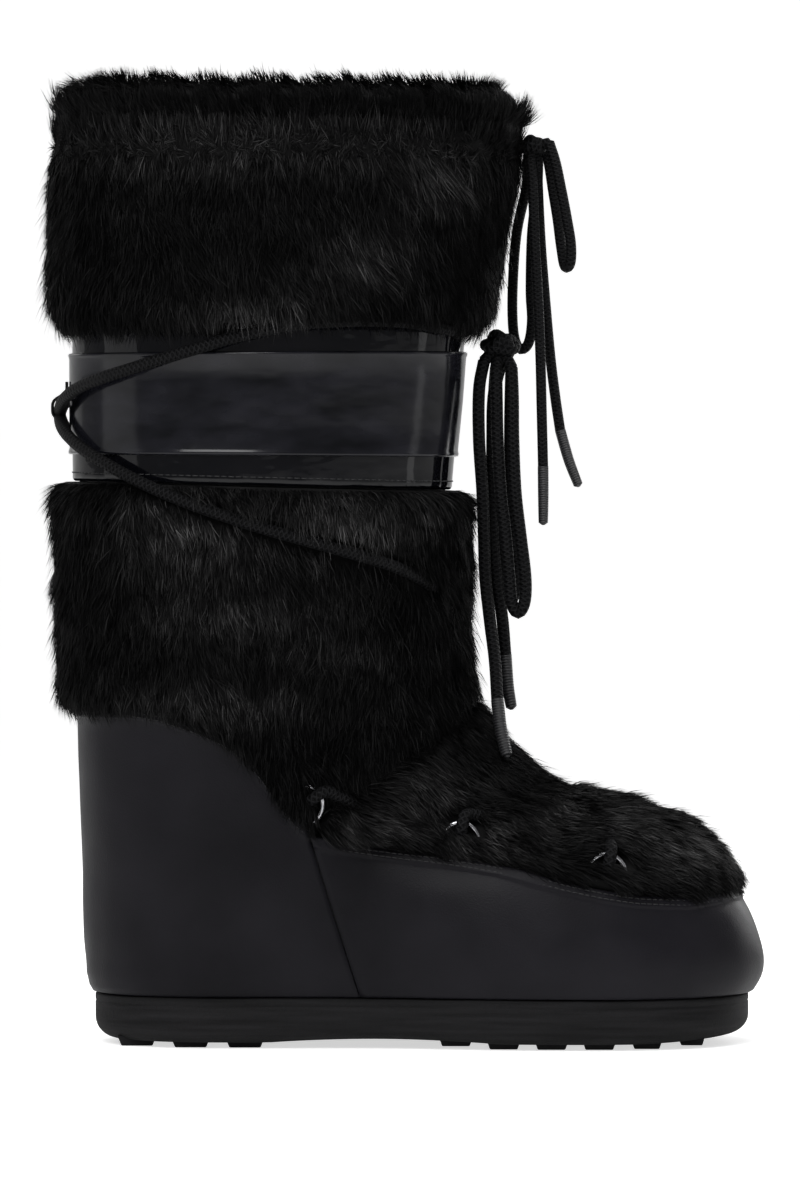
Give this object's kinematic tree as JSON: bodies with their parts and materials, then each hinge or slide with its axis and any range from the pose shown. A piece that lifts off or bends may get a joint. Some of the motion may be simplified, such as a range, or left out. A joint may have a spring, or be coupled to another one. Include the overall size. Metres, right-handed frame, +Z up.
{
  "type": "apres ski boot",
  "caption": "tall padded snow boot with moulded heel and toe shells, shaggy fur panels, a glossy shaft band, a wrapped lace and a fur collar with a drawcord",
  "frame": {"origin": "on the floor, under the middle of the boot's length and width, its free cords left out", "axes": "+X points to the toe, +Z up to the collar, and Y runs across, with the pictured side at -Y"},
  "size_m": [0.3209, 0.1509, 0.4301],
  "materials": {
    "rubber": "matte moulded rubber with a fine grain and faint streaks",
    "shell": "satin leather-like polyurethane shell, finely grained",
    "fur": "deep shaggy faux fur, near black with softer grey patches",
    "lining": "soft padded textile lining",
    "patent": "smooth high-gloss patent film",
    "braid": "round braided cord, dark with fine pale flecks",
    "cord_tip": "dark grey moulded cord tip",
    "ring_metal": "dark polished metal wire",
    "webbing": "narrow woven tape"
  },
  "bodies": {
    "root": {"outsole": "rubber", "heel_shell": "shell", "toe_shell": "shell", "foot_fur": "fur", "ankle_fur": "fur", "cuff_fur": "fur", "upper": "lining", "insole": "lining", "band": "patent", "band_strip": "patent", "lace": "braid", "lace_knot": "braid", "lace_loop_near": "braid", "lace_loop_far": "braid", "lace_end_near": "braid", "lace_end_far": "braid", "drawcord_knot": "braid", "drawcord_loop_near": "braid", "drawcord_loop_far": "braid", "drawcord_end_low": "braid", "drawcord_end_high": "braid", "lace_tip_near": "cord_tip", "lace_tip_far": "cord_tip", "drawcord_tip_low": "cord_tip", "drawcord_tip_high": "cord_tip", "ring_1_near": "ring_metal", "ring_1_far": "ring_metal", "ring_2_near": "ring_metal", "ring_2_far": "ring_metal", "ring_3_near": "ring_metal", "ring_3_far": "ring_metal", "back_loop": "webbing", "ring_tab_1_near": "webbing", "ring_tab_1_far": "webbing", "ring_tab_2_near": "webbing", "ring_tab_2_far": "webbing", "ring_tab_3_near": "webbing", "ring_tab_3_far": "webbing"}
  },
  "joints": []
}
